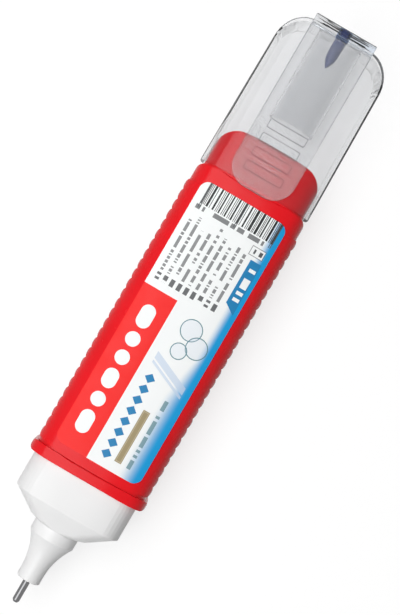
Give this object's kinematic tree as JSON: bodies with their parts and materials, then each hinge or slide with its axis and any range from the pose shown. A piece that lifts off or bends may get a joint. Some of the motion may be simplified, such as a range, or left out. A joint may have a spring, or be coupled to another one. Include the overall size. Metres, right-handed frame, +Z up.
{
  "type": "correction pen",
  "caption": "Flat squeeze-bottle correction pen with ribbed sides, a fine needle tip and a clear clip cap posted on its rear end.",
  "frame": {"origin": "middle of the bounding box's bottom face: on the pen's middle plane, halfway between the needle's tip and the cap's end, on the surface that the pen lies on", "axes": "+Y along the pen from the needle's tip to the cap's end, +Z up out of the front face with label and clip, +X across the pen"},
  "size_m": [0.0274, 0.1378, 0.019],
  "materials": {
    "bottle": "smooth, translucent red squeeze plastic",
    "label": "printed film with a light gloss",
    "front_shoulder": "smooth moulded",
    "nozzle": "smooth moulded",
    "needle_tube": "polished",
    "tip_ball": "polished",
    "push_rod": "satin",
    "valve_spring": "bright wire",
    "spring_retainer": "moulded",
    "mixing_ball": "polished",
    "cap": "clear, glossy, moulded",
    "tip_seal": "smooth, translucent blue"
  },
  "bodies": {
    "pen": {"bottle": "bottle", "label": "label", "front_shoulder": "front_shoulder", "nozzle": "nozzle", "needle_tube": "needle_tube", "spring_retainer": "spring_retainer", "mixing_ball": "mixing_ball"},
    "cap": {"cap": "cap", "tip_seal": "tip_seal"},
    "valve": {"tip_ball": "tip_ball", "push_rod": "push_rod", "valve_spring": "valve_spring"}
  },
  "joints": [
    {"name": "cap_pull", "type": "slide", "parent": "pen", "child": "cap", "axis": [0, 1, 0], "range_m": [0, 0.012]},
    {"name": "tip_press", "type": "slide", "parent": "pen", "child": "valve", "axis": [0, 1, 0], "range_m": [0, 0.0003], "stiffness_N_per_m": 100, "springref_m": -0.002}
  ]
}
